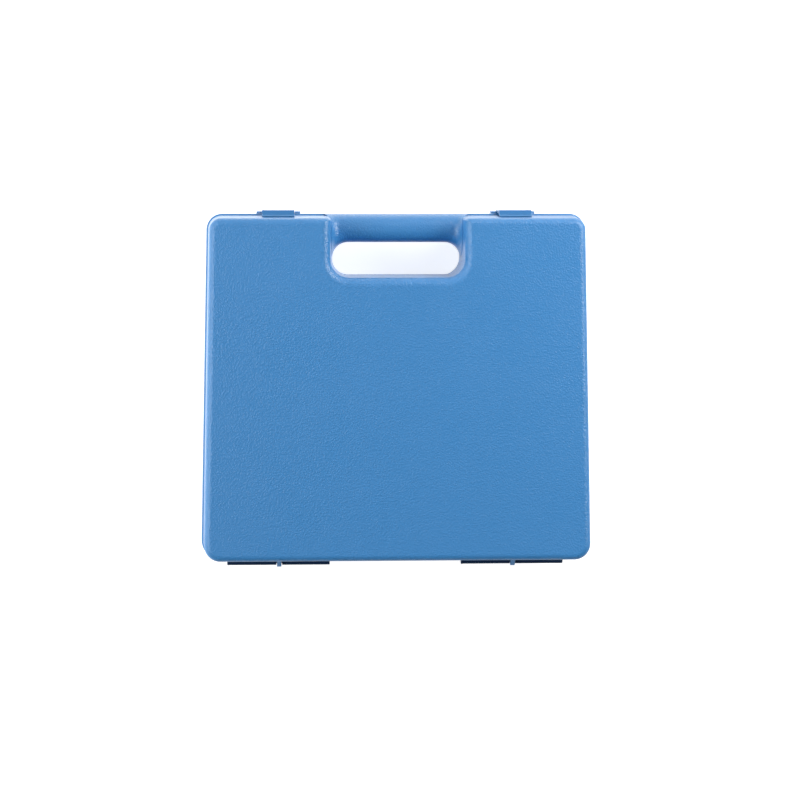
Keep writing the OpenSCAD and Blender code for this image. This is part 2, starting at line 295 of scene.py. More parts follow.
def prism(outline, x_low, x_high, radius=0.0, kind=OUTSIDE):
    """A prism along x over an outline of (y, z) points, with its sharp edges rounded."""
    rings = [[(x, y, z) for y, z in outline] for x in (x_low, x_high)]
    obj = outward(loft("tool", rings))
    if radius:
        round_edges(obj, radius)
    return of_kind(obj, kind)


def box(low, high, radius=0.0, kind=OUTSIDE):
    (x0, y0, z0), (x1, y1, z1) = low, high
    return prism([(y0, z0), (y1, z0), (y1, z1), (y0, z1)], x0, x1, radius, kind)


def ellipse(centre, x_radius, y_radius, start, end, steps):
    """Points on an ellipse round a centre, from one angle in degrees to another."""
    angles = [math.radians(start + (end - start) * i / steps) for i in range(steps + 1)]
    return [(centre[0] + x_radius * math.cos(a), centre[1] + y_radius * math.sin(a)) for a in angles]


def arc(centre, radius, start, end, steps):
    return ellipse(centre, radius, radius, start, end, steps)


def rod(centre, radius, x_low, x_high, edge_radius=0.0):
    """A cylinder along x round (y, z)."""
    return prism(arc(centre, radius, 0, 360, ROD_STEPS)[:-1], x_low, x_high, edge_radius)


def moved(obj, x=0.0, z=0.0):
    obj.data.transform(Matrix.Translation(Vector((x, 0, z)) * MM))
    return obj


def below_seam(obj, x=0.0):
    """Turns a piece drawn with z running down from the seam the right way up, and puts it at x."""
    flip = Matrix.Scale(-1, 4, (0, 0, 1))
    obj.data.transform(Matrix.Translation(Vector((x, 0, BASE_TOP)) * MM) @ flip)
    obj.data.flip_normals()
    return obj


def at_both(x, make):
    """The same tool at +x and at -x."""
    return [moved(make(), x=side * x) for side in (-1, 1)]


def at_four(x, apart, make):
    """The same tool on either side of +x and of -x."""
    return [moved(make(), x=side * x + place * apart) for side in (-1, 1) for place in (-1, 1)]


def combine(target, tools, operation):
    """Joins, cuts or intersects target with each tool in turn, and drops the tools."""
    for tool in tools:
        step = target.modifiers.new("step", "BOOLEAN")
        step.solver = "EXACT"
        step.operation = operation
        step.object = tool
        graph = bpy.context.evaluated_depsgraph_get()
        mesh = bpy.data.meshes.new_from_object(target.evaluated_get(graph))
        target.modifiers.clear()
        target.data = mesh
        bpy.data.objects.remove(tool)
    return target


def smooth(obj, sharper_than=38):
    """Smooth shading with flat faces kept flat and sharp edges kept sharp."""
    obj.data.polygons.foreach_set("use_smooth", [True] * len(obj.data.polygons))
    obj.data.set_sharp_from_angle(angle=math.radians(sharper_than))
    weights = obj.modifiers.new("flat_faces", "WEIGHTED_NORMAL")
    weights.keep_sharp = True
    return obj


# ---------------------------------------------------------------- shell halves
# Drawn with z running outward from the seam, as each half leaves its mould.


def half_width(y):
    return CASE_W / 2 - TAPER / 2 * (HINGE_Y - y) / (HINGE_Y - HANDLE_Y)


def between(start, end, steps):
    """Points after start and before end."""
    return [tuple(a + (b - a) * i / steps for a, b in zip(start, end)) for i in range(1, steps)]


def side_angle():
    """Direction of the outward normal of the tapered side wall, in degrees."""
    y_low, y_high = HANDLE_Y + HANDLE_CORNER_R, HINGE_Y - HINGE_CORNER_R
    dx = half_width(y_high) - HINGE_CORNER_R - half_width(y_low) + HANDLE_CORNER_R
    dy = y_high - y_low
    lean = math.acos((HANDLE_CORNER_R - HINGE_CORNER_R) / math.hypot(dx, dy))
    return math.degrees(math.atan2(dy, dx) - lean)


def ring(outer, pocket):
    """A closed ring round a half. Each argument is (inset, height): on the sides, in the pocket."""
    inset, height = outer
    pocket_inset, pocket_height = pocket
    slot_r = SLOT_R + pocket_inset
    wall_x = SLOT_W / 2 + pocket_inset
    corner_rx = max(POCKET_CORNER_R - pocket_inset, SHARPEST_CORNER)
    corner_ry = max(POCKET_CORNER_R - inset, SHARPEST_CORNER)
    front_y, back_y = HANDLE_Y + inset, HINGE_Y - inset

    in_pocket = [(0, SLOT_Y + slot_r)]
    in_pocket += between((0, SLOT_Y + slot_r), (SLOT_C, SLOT_Y + slot_r), SLOT_BACK_STEPS)
    in_pocket += arc((SLOT_C, SLOT_Y), slot_r, 90, 0, SLOT_END_STEPS)
    corner = ellipse((wall_x + corner_rx, front_y + corner_ry), corner_rx, corner_ry,
                     180, 270, POCKET_CORNER_STEPS)
    in_pocket += between(in_pocket[-1], corner[0], POCKET_SIDE_STEPS)

    y_low, y_high = HANDLE_Y + HANDLE_CORNER_R, HINGE_Y - HINGE_CORNER_R
    turn = side_angle()
    handle_corner = arc((half_width(y_low) - HANDLE_CORNER_R, y_low), HANDLE_CORNER_R - inset,
                        -90, turn, CORNER_STEPS)
    hinge_corner = arc((half_width(y_high) - HINGE_CORNER_R, y_high), HINGE_CORNER_R - inset,
                       turn, 90, CORNER_STEPS)
    outside = between(corner[-1], handle_corner[0], HANDLE_EDGE_STEPS) + handle_corner
    outside += between(handle_corner[-1], hinge_corner[0], SIDE_STEPS) + hinge_corner
    outside += between(hinge_corner[-1], (0, back_y), HINGE_EDGE_STEPS) + [(0, back_y)]

    half = [(x, y, pocket_height) for x, y in in_pocket]
    for i, (x, y) in enumerate(corner):
        share = i / (len(corner) - 1)
        half.append((x, y, pocket_height + (height - pocket_height) * share))
    half += [(x, y, height) for x, y in outside]
    return half + [(-x, y, z) for x, y, z in reversed(half[1:-1])]


def quarter(inset, radius, top):
    """Quarter circle in a wall's profile, from the wall to the face at height top."""
    steps = [math.radians(90 * i / ARC_STEPS) for i in range(ARC_STEPS + 1)]
    return [(inset + radius * (1 - math.cos(a)), top - radius + radius * math.sin(a)) for a in steps]


def outside_profile(h):
    """Pairs of inset and height up a half's outer side, over the lip and the wall and onto the face."""
    seam_middle, lip_middle = ROUND_MIDDLE * SEAM_ROUND, ROUND_MIDDLE * LIP_ROUND
    lip = [(SEAM_ROUND, 0), (seam_middle, seam_middle), (0, SEAM_ROUND),
           (0, LIP_H - LIP_ROUND), (lip_middle, LIP_H - lip_middle), (LIP_ROUND, LIP_H),
           (LIP_FOOT, LIP_H)]
    lip += [(LIP_PROUD + across, LIP_H + up) for across, up in LIP_FILLET]
    wall = quarter(LIP_PROUD + DRAFT, EDGE_R, h)
    face = [(wall[-1][0] + margin, h) for margin in FACE_MARGINS]
    return lip + wall + face


def pocket_profile(h):
    """The same up the pocket's wall, in as many steps."""
    slope = POCKET_DRAFT / (h - FLARE_R)
    seam_middle = ROUND_MIDDLE * SEAM_ROUND
    heights = [0, seam_middle, SEAM_ROUND, *POCKET_LEVELS]
    insets = [SEAM_ROUND, seam_middle] + [slope * z for z in heights[2:]]
    wall = quarter(POCKET_DRAFT, FLARE_R, h)
    face = [(wall[-1][0] + margin, h) for margin in FACE_MARGINS]
    return list(zip(insets, heights)) + wall + face


def inside_profiles(h):
    """The inner skin's two profiles, a wall's thickness inside the outer ones."""
    top = h - WALL
    sides = [(WALL_IN - SEAM_ROUND, 0), (WALL_IN, SEAM_ROUND)]
    sides += quarter(WALL_IN + DRAFT, EDGE_R - WALL, top)
    pocket = [(WALL - SEAM_ROUND, 0), (WALL, SEAM_ROUND)]
    pocket += quarter(WALL + POCKET_DRAFT, FLARE_R - WALL, top)
    return sides, pocket


def shell_half(name, h):
    """Wall, lip, face and inner skin of one half, as one closed surface."""
    inner = [ring(*pair) for pair in zip(*inside_profiles(h))]
    outer = [ring(*pair) for pair in zip(outside_profile(h), pocket_profile(h))]
    rings = list(reversed(inner)) + outer
    kinds = [INSIDE] * (len(inner) + 1) + [OUTSIDE] * len(outer)
    return loft(name, rings, kinds)


def grip_section(x, inset):
    """Half section of the grip at x: it widens round the slot's ends and rises to the pocket wall."""
    reach = abs(x)
    slot_side = SLOT_Y - SLOT_R
    if reach > SLOT_C:
        slot_side = SLOT_Y - math.sqrt(max(SLOT_R ** 2 - (reach - SLOT_C) ** 2, 0))
    wall_x = SLOT_W / 2 + POCKET_DRAFT / 2
    run = min(max(reach - (wall_x - GRIP_BLEND_R), 0), GRIP_BLEND_REACH)
    rise = GRIP_BLEND_R - math.sqrt(GRIP_BLEND_R ** 2 - run ** 2)
    middle = (HANDLE_Y + slot_side) / 2
    breadth = (slot_side - HANDLE_Y) / 2 - inset
    height = GRIP_T / 2 + rise - inset
    points = []
    for i in range(GRIP_STEPS + 1):
        a = math.pi * i / GRIP_STEPS
        along = math.copysign(abs(math.cos(a)) ** GRIP_POWER, math.cos(a))
        points.append((middle + breadth * along, height * max(math.sin(a), 0) ** GRIP_POWER))
    return points


def grip_half():
    """Hollow half of the grip. Its ends run into the pocket's walls, and spread at the handle edge."""
    stations = [SLOT_C * i / GRIP_MIDDLE_STEPS for i in range(1, GRIP_MIDDLE_STEPS)]
    stations += [SLOT_C + (GRIP_ROOT - SLOT_C) * i / GRIP_STEPS for i in range(GRIP_STEPS + 1)]
    xs = [-x for x in reversed(stations)] + [0] + stations
    rings = []
    for x in xs:
        outer = grip_section(x, 0)
        inner = grip_section(x, WALL)
        loop = []
        for y, z in outer + inner[::-1]:
            near_edge = max(0, 1 - (y - HANDLE_Y) / GRIP_EDGE_BAND)
            near_end = max(0, abs(x) - GRIP_END) / (GRIP_ROOT - GRIP_END)
            loop.append((x + math.copysign(GRIP_EDGE_SPREAD * near_edge * near_end, x), y, z))
        rings.append(loop)
    return outward(loft("tool", rings))


# ---------------------------------------------------------------- what the base carries


def ear():
    """Block that carries one end of a latch pin."""
    outline = [(HANDLE_ROOT_Y, EAR_TOP), (HANDLE_ROOT_Y, PIVOT_DROP + EAR_R)]
    outline += arc(PIVOT_AT, EAR_R, 90, 180, EAR_STEPS)
    outline += [(PIVOT_Y - EAR_R, EAR_SHOULDER), (HANDLE_Y - LATCH_PROUD / 2, EAR_TOP)]
    return prism(outline, -EAR_W / 2, EAR_W / 2, radius=0.35)


def knuckle_cut():
    return rod(PIVOT_AT, KNUCKLE_R + FREE_GAP, -EAR_X, EAR_X)


def latch_pin_hole():
    reach = EAR_X + EAR_W + PAST
    return rod(PIVOT_AT, LATCH_PIN_R + PIN_GAP / 2, -reach, reach)


def hinge_seat():
    """Wall that the hinge block is screwed to, set back from the base's own wall."""
    return box((-HINGE_CUT_W / 2, HINGE_ROOT_Y, OFF_SEAM), (HINGE_CUT_W / 2, SEAT_Y, HINGE_DROP),
               radius=0.2)


def hinge_seat_cut():
    return box((-HINGE_CUT_W / 2, SEAT_Y, -PAST), (HINGE_CUT_W / 2, HINGE_Y + PAST, HINGE_DROP))


def barrel_cut():
    return rod(AXIS_AT, BARREL_CUT_R, -HINGE_CUT_W / 2, HINGE_CUT_W / 2)


def lug_cut():
    return rod(AXIS_AT, LUG_R + FREE_GAP, -LUG_GAP_W / 2, LUG_GAP_W / 2)


def lug_backing():
    """Block inside the base's wall, behind the cut that clears the lid's lug."""
    reach = LUG_GAP_W / 2 + WALL
    back_y = AXIS_Y - LUG_R - FREE_GAP - WALL
    return box((-reach, back_y, OFF_SEAM), (reach, HINGE_ROOT_Y, LUG_R + FREE_GAP + WALL),
               radius=0.5, kind=INSIDE)


def turned(profile, steps):
    """A round solid along y on a screw's line, through pairs of radius and y."""
    angles = [math.tau * i / steps for i in range(steps)]
    rings = [[(radius * math.cos(a), y, SCREW_DROP + radius * math.sin(a)) for a in angles]
             for radius, y in profile]
    return outward(loft("tool", rings))


def screw_boss():
    """Round boss inside the wall for one screw."""
    profile = [(BOSS_ROOT_R, HINGE_ROOT_Y), (BOSS_ROOT_R, BOSS_Y + BOSS_END_ROUND),
               (BOSS_END_R, BOSS_Y)]
    return of_kind(turned(profile, BOSS_STEPS), INSIDE)


def screw_hole():
    radius = SCREW_R + FREE_GAP / 2
    return turned([(radius, BOSS_Y - PAST), (radius, SEAT_Y + PAST)], SCREW_HOLE_STEPS)


def tongue_runs():
    """The locating tongue: a strip round each side up to its hinge, and one between the hinges."""
    inset = WALL_IN + TONGUE_GAP + TONGUE_T / 2
    path = [(x, y) for x, y, _ in ring((inset, 0), (WALL, 0))]
    handle_limit = SLOT_W / 2 + 2 * WALL
    hinge_half = HINGE_CUT_W / 2 + WALL

    def open_at(x, y):
        by_hinge = y > HINGE_Y - HINGE_CORNER_R and abs(abs(x) - HINGE_X) < hinge_half
        return (abs(x) > handle_limit or y > 0) and not by_hinge

    runs, run = [], []
    for point in path + path[:1]:
        if open_at(*point):
            run.append(point)
        elif run:
            runs.append(run)
            run = []
    if run:
        runs.append(run)
    return [r for r in runs if len(r) > 2]


def tongue(run):
    """A strip with a rounded top, rooted in the wall below the seam."""
    t, root = TONGUE_T / 2, 3 * TONGUE_H / 2
    rings = []
    for i, (x, y) in enumerate(run):
        before, after = run[max(i - 1, 0)], run[min(i + 1, len(run) - 1)]
        along = Vector((after[0] - before[0], after[1] - before[1])).normalized()
        nx, ny = -along.y, along.x
        section = [(-t - TONGUE_GAP, root), (t, root), (t, TONGUE_ROUND - TONGUE_H),
                   (t - TONGUE_ROUND, -TONGUE_H), (TONGUE_ROUND - t, -TONGUE_H),
                   (-t, TONGUE_ROUND - TONGUE_H), (-t, TONGUE_FOOT), (-t - TONGUE_GAP, 2 * TONGUE_FOOT)]
        rings.append([(x + nx * s, y + ny * s, z) for s, z in section])
    return of_kind(outward(loft("tool", rings)), INSIDE)


def base_moulding():
    shell = shell_half("base_moulding", BASE_H)
    joins = at_both(HINGE_X, hinge_seat) + at_both(HINGE_X, lug_backing)
    joins += at_four(HINGE_X, SCREW_X, screw_boss) + [grip_half()]
    joins += [tongue(run) for run in tongue_runs()]
    combine(shell, joins, "UNION")
    cuts = at_both(HINGE_X, hinge_seat_cut) + at_both(HINGE_X, barrel_cut)
    cuts += at_both(HINGE_X, lug_cut) + at_both(LATCH_X, knuckle_cut)
    cuts += at_four(HINGE_X, SCREW_X, screw_hole)
    combine(shell, cuts, "DIFFERENCE")
    combine(shell, at_four(LATCH_X, EAR_X + EAR_W / 2, ear), "UNION")
    combine(shell, at_both(LATCH_X, latch_pin_hole), "DIFFERENCE")
    below_seam(shell)
    return smooth(shell)


# ---------------------------------------------------------------- what the lid carries


def lug():
    """Root on the lid's wall and a round eye on the hinge axis."""
    outline = [(HINGE_ROOT_Y, LUG_R - 2), (HINGE_ROOT_Y, LUG_FOOT)]
    outline += arc(AXIS_AT, LUG_R, -150, 40, LUG_EYE_STEPS)
    outline += [(HINGE_Y - LIP_PROUD + 0.4, LUG_UP), (HINGE_ROOT_Y, LUG_UP)]
    return prism(outline, -LUG_W / 2, LUG_W / 2, radius=0.3)


def hinge_thickening():
    """Block inside the lid's wall, behind the cut that clears the hinge's barrels."""
    reach = HINGE_CUT_W / 2
    return box((-reach, HINGE_Y - WALL_IN - WALL, OFF_SEAM),
               (reach, HINGE_ROOT_Y, BARREL_CUT_R + WALL), radius=0.5, kind=INSIDE)


def catch_ridge():
    """Wedge that a latch's hook snaps under."""
    top, foot = CATCH_RISE - CATCH_H, CATCH_RISE
    outline = [(HANDLE_ROOT_Y, top), (HANDLE_ROOT_Y, foot), (CATCH_TIP_Y, foot),
               (CATCH_TIP_Y, foot - CATCH_TIP_H), (CATCH_TOP_Y, top)]
    return prism(outline, -LATCH_W / 2, LATCH_W / 2, radius=0.25)


def lug_pin_hole():
    return rod(AXIS_AT, HINGE_PIN_R + PIN_GAP, -LUG_W, LUG_W)


def lid_moulding():
    shell = shell_half("lid_moulding", LID_H)
    combine(shell, at_both(HINGE_X, hinge_thickening) + at_both(LATCH_X, catch_ridge), "UNION")
    combine(shell, at_both(HINGE_X, barrel_cut), "DIFFERENCE")
    combine(shell, at_both(HINGE_X, lug) + [grip_half()], "UNION")
    combine(shell, at_both(HINGE_X, lug_pin_hole), "DIFFERENCE")
    moved(shell, z=LID_BOTTOM)
    return smooth(shell)


# ---------------------------------------------------------------- latches


def latch_plate():
    """Plate, hook and knuckle in one profile, drawn with z running down from the seam."""
    hook_top = -CATCH_RISE - FREE_GAP
    hook_foot = hook_top - CATCH_H - PAST
    hook_y = HANDLE_Y + 0.75 * LIP_PROUD
    cheek_top = -LATCH_RISE - CHEEK_H
    cheek_y = HANDLE_Y + LIP_PROUD - DRAFT * cheek_top / (LID_H - EDGE_R) - FREE_GAP
    outline = [(HANDLE_Y - FREE_GAP, hook_top)]
    outline += arc(PIVOT_AT, KNUCKLE_R, KNUCKLE_START, 180, KNUCKLE_STEPS)
    outline += [(LATCH_OUT_Y, -0.55 * LATCH_RISE), (LATCH_OUT_Y - 0.3 * RIB_PROUD, -0.72 * LATCH_RISE),
                (LATCH_PROUD_Y, -LATCH_RISE + LATCH_EDGE_H), (LATCH_PROUD_Y, -LATCH_RISE),
                (HANDLE_Y, -LATCH_RISE), (cheek_y - CHEEK_FLAT, cheek_top), (cheek_y, cheek_top),
                (hook_y, hook_foot), (hook_y, hook_top)]
    return prism(outline, -PLATE_W / 2, PLATE_W / 2, radius=0.3)


def latch_side_rib():
    """Rib along one side of the plate, with a slope at its lower end."""
    outline = [(RIB_ROOT_Y, PIVOT_DROP), (LATCH_OUT_Y - 0.4 * RIB_PROUD, PIVOT_DROP),
               (LATCH_PROUD_Y, PIVOT_DROP - RIB_SLOPE_H), (LATCH_PROUD_Y, RIB_TOP),
               (RIB_ROOT_Y, RIB_TOP)]
    return prism(outline, -RIB_T / 2, RIB_T / 2, radius=0.22)


def latch_serration(z):
    """One ridge across the finger end, prouder towards the edge."""
    proud = 0.3 * RIB_PROUD + 0.7 * RIB_PROUD * (-z / LATCH_RISE - 0.5)
    return box((-SERRATION_HALF_W, LATCH_OUT_Y - proud, z - SERRATION_HALF_H),
               (SERRATION_HALF_W, LATCH_OUT_Y + 1, z + SERRATION_HALF_H), radius=0.15)


def latch_recess():
    """Shallow panel let into the plate's face between its ribs."""
    return box((-RECESS_HALF_W, LATCH_OUT_Y - PAST, RECESS_TOP),
               (RECESS_HALF_W, LATCH_OUT_Y + RECESS_DEPTH, RECESS_FOOT), radius=0.9)


def latch(name, side):
    obj = latch_plate()
    obj.name = name
    combine(obj, [latch_recess()], "DIFFERENCE")
    combine(obj, at_both(LATCH_W / 2 + RIB_T / 2, latch_side_rib), "UNION")
    heights = [SERRATION_FIRST - SERRATION_STEP * i for i in range(SERRATIONS)]
    combine(obj, [latch_serration(z) for z in heights], "UNION")
    combine(obj, [rod(PIVOT_AT, LATCH_PIN_R + PIN_GAP, -PLATE_W, PLATE_W)], "DIFFERENCE")
    below_seam(obj, side * LATCH_X)
    return smooth(obj)


# ---------------------------------------------------------------- hinge blocks


def hinge_plate():
    outline = [(SEAT_Y, -SEAM / 2), (SEAT_Y, HINGE_DROP), (PLATE_OUT_Y, HINGE_DROP),
               (PLATE_OUT_Y, -SEAM / 2)]
    return prism(outline, -HINGE_W / 2, HINGE_W / 2, radius=0.5)


def hinge_core_out():
    """Shallow recess in the plate's outer face, as moulded plates have against sinking."""
    return box((-CORE_OUT_W / 2, PLATE_OUT_Y - CORE_OUT_DEPTH, CORE_OUT_TOP),
               (CORE_OUT_W / 2, PLATE_OUT_Y + PAST, CORE_OUT_FOOT), radius=0.8)


def hinge_block(name, side):
    """Plate, barrel in knuckles with fine grooves between, gap for the lug and bore for the pin."""
    obj = hinge_plate()
    obj.name = name
    gap = LUG_GAP_W / 2
    span = (HINGE_W - LUG_GAP_W) / 2 / KNUCKLES
    barrels = []
    for end in (-1, 1):
        for i in range(KNUCKLES):
            inner = gap + i * span
            low, high = sorted((end * inner, end * (inner + span)))
            barrels.append(rod(AXIS_AT, BARREL_R, low, high, edge_radius=0.22))
    combine(obj, barrels, "UNION")
    cuts = [box((-gap, SEAT_Y - BARREL_R, -BARREL_R - PAST),
                (gap, AXIS_Y + BARREL_R + PAST, LUG_UP + PAST))]
    cuts += at_both(CORE_OUT_X, hinge_core_out)
    cuts.append(rod(AXIS_AT, HINGE_PIN_R + PIN_GAP, -HINGE_W, HINGE_W))
    combine(obj, cuts, "DIFFERENCE")
    below_seam(obj, side * HINGE_X)
    return smooth(obj)


# ---------------------------------------------------------------- foam

FOAM_INSET = LIP_PROUD + DRAFT + EDGE_R + 2 * FREE_GAP
FOAM_POCKET_INSET = POCKET_DRAFT + FLARE_R + 2 * FREE_GAP
FOAM_SOFT = 1.6
FOAM_BACK_EDGE = 0.4
CELL = 12.5
CUT_HALF = 0.45
CUT_DEPTH = 2.4
PLUG_LINES = (0.3, 0.7)
PLUG_SINK = 0.4
PLUG_CROWN = 0.35
EGG_PERIOD = 24
EGG_DEPTH = 10.5
EGG_POWER = 0.85
EGG_STEP = 2.0


def foam_outline(thickness):
    """Solid over the foam's outline, z from its back to its face, with softened edges."""
    middle = ROUND_MIDDLE * FOAM_SOFT
    levels = [(FOAM_BACK_EDGE, 0), (0, FOAM_BACK_EDGE), (0, thickness - FOAM_SOFT),
              (middle, thickness - middle), (FOAM_SOFT, thickness)]
    rings = [ring((FOAM_INSET + i, z), (FOAM_POCKET_INSET + i, z)) for i, z in levels]
    return loft("tool", rings)


def relief_block(name, xs, ys, height):
    """Block whose top follows height(x, y) over a grid."""
    rows, columns = len(ys), len(xs)
    size = rows * columns
    points = [(x, y, height(x, y)) for y in ys for x in xs]
    faces = [[k, k + 1, k + columns + 1, k + columns]
             for j in range(rows - 1) for k in range(j * columns, (j + 1) * columns - 1)]
    border = list(range(columns)) + [j * columns + columns - 1 for j in range(1, rows)]
    border += list(range(size - 2, size - columns - 1, -1))
    border += [j * columns for j in range(rows - 2, 0, -1)]
    below = {top: size + k for k, top in enumerate(sorted(border))}
    points += [(*points[top][:2], -PAST) for top in sorted(border)]
    faces += [[b, a, below[a], below[b]] for a, b in zip(border, border[1:] + border[:1])]
    faces.append([below[top] for top in reversed(border)])
    return new_object(name, points, faces)


def diced_height(thickness):
    """Foam pre-cut into square plugs: narrow cuts, and each plug a little crowned."""
    def height(x, y):
        u, v = (x / CELL) % 1, (y / CELL) % 1
        on_cut = min(u, 1 - u, v, 1 - v) * CELL < 1e-6
        if on_cut:
            return thickness - CUT_DEPTH
        crown = PLUG_CROWN * math.sin(math.pi * u) * math.sin(math.pi * v)
        return thickness - PLUG_SINK + crown
    return height


def diced_lines(reach):
    """Grid lines: the bottom and both sides of each cut, and two across each plug."""
    count = math.ceil(reach / CELL)
    lines = []
    for k in range(-count, count + 1):
        lines += [k * CELL, k * CELL + CUT_HALF]
        lines += [k * CELL + share * CELL for share in PLUG_LINES]
        lines.append((k + 1) * CELL - CUT_HALF)
    return lines + [(count + 1) * CELL]


def egg_height(thickness):
    """Egg-crate foam: rounded peaks and hollows in a chequered grid."""
    def height(x, y):
        wave = math.cos(math.tau * x / EGG_PERIOD) * math.cos(math.tau * y / EGG_PERIOD)
        return thickness - EGG_DEPTH / 2 + EGG_DEPTH / 2 * math.copysign(abs(wave) ** EGG_POWER, wave)
    return height


def even_lines(reach, step):
    count = math.ceil(reach / step)
    return [k * step for k in range(-count, count + 1)]


def foam_pad(name, node, lines_x, lines_y, height_rule, face_up):
    """Foam cut to its outline, from its back against the shell to its worked face."""
    low, high = corners_mm(node)
    thickness = high.z - low.z
    obj = relief_block(name, lines_x, lines_y, height_rule(thickness))
    combine(obj, [foam_outline(thickness)], "INTERSECT")
    if face_up:
        moved(obj, z=low.z)
    else:
        obj.data.transform(Matrix.Translation((0, 0, high.z * MM)) @ Matrix.Scale(-1, 4, (0, 0, 1)))
        obj.data.flip_normals()
    return smooth(obj, sharper_than=50)


# ---------------------------------------------------------------- materials


class Nodes:
    """Short names for making one material's nodes."""

    def __init__(self, name):
        self.material = bpy.data.materials.new(name)
        self.material.use_nodes = True
        self.tree = self.material.node_tree
        self.shader = self.tree.nodes["Principled BSDF"]
        self.place = self.add("ShaderNodeTexCoord").outputs["Object"]

    def add(self, kind, **settings):
        node = self.tree.nodes.new(kind)
        for key, value in settings.items():
            setattr(node, key, value)
        return node

    def link(self, source, target):
        self.tree.links.new(source, target)

    def noise(self, scale, detail):
        node = self.add("ShaderNodeTexNoise")
        node.inputs["Scale"].default_value = scale
        node.inputs["Detail"].default_value = detail
        self.link(self.place, node.inputs["Vector"])
        return node.outputs["Fac"]

    def cells(self, scale, where=None):
        """Distance to the middle of the nearest of scattered cells, scale of them to a metre."""
        node = self.add("ShaderNodeTexVoronoi", feature="F1")
        node.inputs["Scale"].default_value = scale
        self.link(where or self.place, node.inputs["Vector"])
        return node.outputs["Distance"]

    def warped(self, scale, amount):
        """The place, pushed about by noise, so that cells lose their straight edges."""
        noise = self.add("ShaderNodeTexNoise")
        noise.inputs["Scale"].default_value = scale
        self.link(self.place, noise.inputs["Vector"])
        push = self.add("ShaderNodeVectorMath", operation="SCALE")
        push.inputs["Scale"].default_value = amount
        self.link(noise.outputs["Color"], push.inputs[0])
        total = self.add("ShaderNodeVectorMath", operation="ADD")
        self.link(self.place, total.inputs[0])
        self.link(push.outputs["Vector"], total.inputs[1])
        return total.outputs["Vector"]

    def remap(self, value, low, high, to_low, to_high):
        node = self.add("ShaderNodeMapRange")
        for key, number in (("From Min", low), ("From Max", high),
                            ("To Min", to_low), ("To Max", to_high)):
            node.inputs[key].default_value = number
        self.link(value, node.inputs["Value"])
        return node.outputs["Result"]

    def math(self, operation, a, b):
        node = self.add("ShaderNodeMath", operation=operation)
        for socket, value in zip(node.inputs, (a, b)):
            if isinstance(value, (int, float)):
                socket.default_value = value
            else:
                self.link(value, socket)
        return node.outputs["Value"]

    def total(self, a, a_share, b, b_share):
        return self.math("ADD", self.math("MULTIPLY", a, a_share), self.math("MULTIPLY", b, b_share))

    def blend(self, share, a, b):
        """Colour between a and b."""
        node = self.add("ShaderNodeMix", data_type="RGBA")
        self.link(share, node.inputs["Factor"])
        for socket, value in ((node.inputs[6], a), (node.inputs[7], b)):
            if isinstance(value, tuple):
                socket.default_value = (*value, 1)
            else:
                self.link(value, socket)
        return node.outputs[2]

    def edges(self, low, high):
        """1 on convex edges, where wear and a painted sheen lighten the colour; 0 elsewhere."""
        geometry = self.add("ShaderNodeNewGeometry")
        return self.remap(geometry.outputs["Pointiness"], low, high, 0, 1)

    def bump(self, height, depth):
        """Relief of a depth in millimetres."""
        node = self.add("ShaderNodeBump")
        node.inputs["Distance"].default_value = depth * MM
        self.link(height, node.inputs["Height"])
        self.link(node.outputs["Normal"], self.shader.inputs["Normal"])

    def set(self, socket, value):
        if isinstance(value, tuple):
            self.shader.inputs[socket].default_value = (*value, 1)
        elif isinstance(value, (int, float)):
            self.shader.inputs[socket].default_value = value
        else:
            self.link(value, self.shader.inputs[socket])


def shade(colour, factor):
    """A lighter or darker tone of a colour."""
    return tuple(min(channel * factor, 1) for channel in colour)


# Noise seldom leaves its middle, so that this much of it is spread over a whole range
NOISE_MIDDLE = (0.3, 0.7)

# Moulded plastic: distance from a pebble's top to its crease in cells, parts of its height, and
# the tones, shares and reach of its clouds, of the painted shade in its creases and of the wear and
# painted sheen on its edges
PEBBLE_REACH = (0.15, 0.75)
PEBBLE_PART = 0.7
FINE_PART = 0.45
CLOUD_TONES = (0.985, 1.015)
CREASE_SHADE_TONE = 0.7
CREASE_SHADE_SHARE = 0.06
WORN_AND_SHEEN_TONE = 1.5
WORN_AND_SHEEN_SHARE = 0.12
WORN_AND_SHEEN_REACH = (0.52, 0.62)


def moulded_plastic(name, colour, grain, depth, roughness, specular=0.5):
    """Moulded polypropylene. grain is its leather-like cells' size and depth their height, in mm."""
    n = Nodes(name)
    cell = grain * MM
    pebbles = n.remap(n.cells(1 / cell, n.warped(0.6 / cell, 0.55 * cell)), *PEBBLE_REACH, 1, 0)
    n.bump(n.total(pebbles, PEBBLE_PART, n.noise(2.4 / cell, 3), FINE_PART), depth)
    clouded = n.blend(n.noise(9, 3), *(shade(colour, tone) for tone in CLOUD_TONES))
    # Painted shade: the creases between the pebbles are darkened.
    crease_shade = n.math("MULTIPLY", n.math("SUBTRACT", 1.0, pebbles), CREASE_SHADE_SHARE)
    crease_shaded = n.blend(crease_shade, clouded, shade(colour, CREASE_SHADE_TONE))
    # Wear and painted sheen: convex edges are lightened.
    wear_and_sheen = n.math("MULTIPLY", n.edges(*WORN_AND_SHEEN_REACH), WORN_AND_SHEEN_SHARE)
    n.set("Base Color", n.blend(wear_and_sheen, crease_shaded, shade(colour, WORN_AND_SHEEN_TONE)))
    n.set("Roughness", n.remap(n.noise(30, 2), *NOISE_MIDDLE, roughness - 0.02, roughness + 0.03))
    n.set("Specular IOR Level", specular)
    return n.material


def zinc_steel(name):
    n = Nodes(name)
    n.set("Base Color", n.blend(n.cells(900), (0.62, 0.64, 0.66), (0.74, 0.75, 0.76)))
    n.set("Metallic", 1.0)
    n.set("Roughness", n.remap(n.noise(700, 4), *NOISE_MIDDLE, 0.24, 0.42))
    n.bump(n.noise(2500, 3), 0.01)
    return n.material


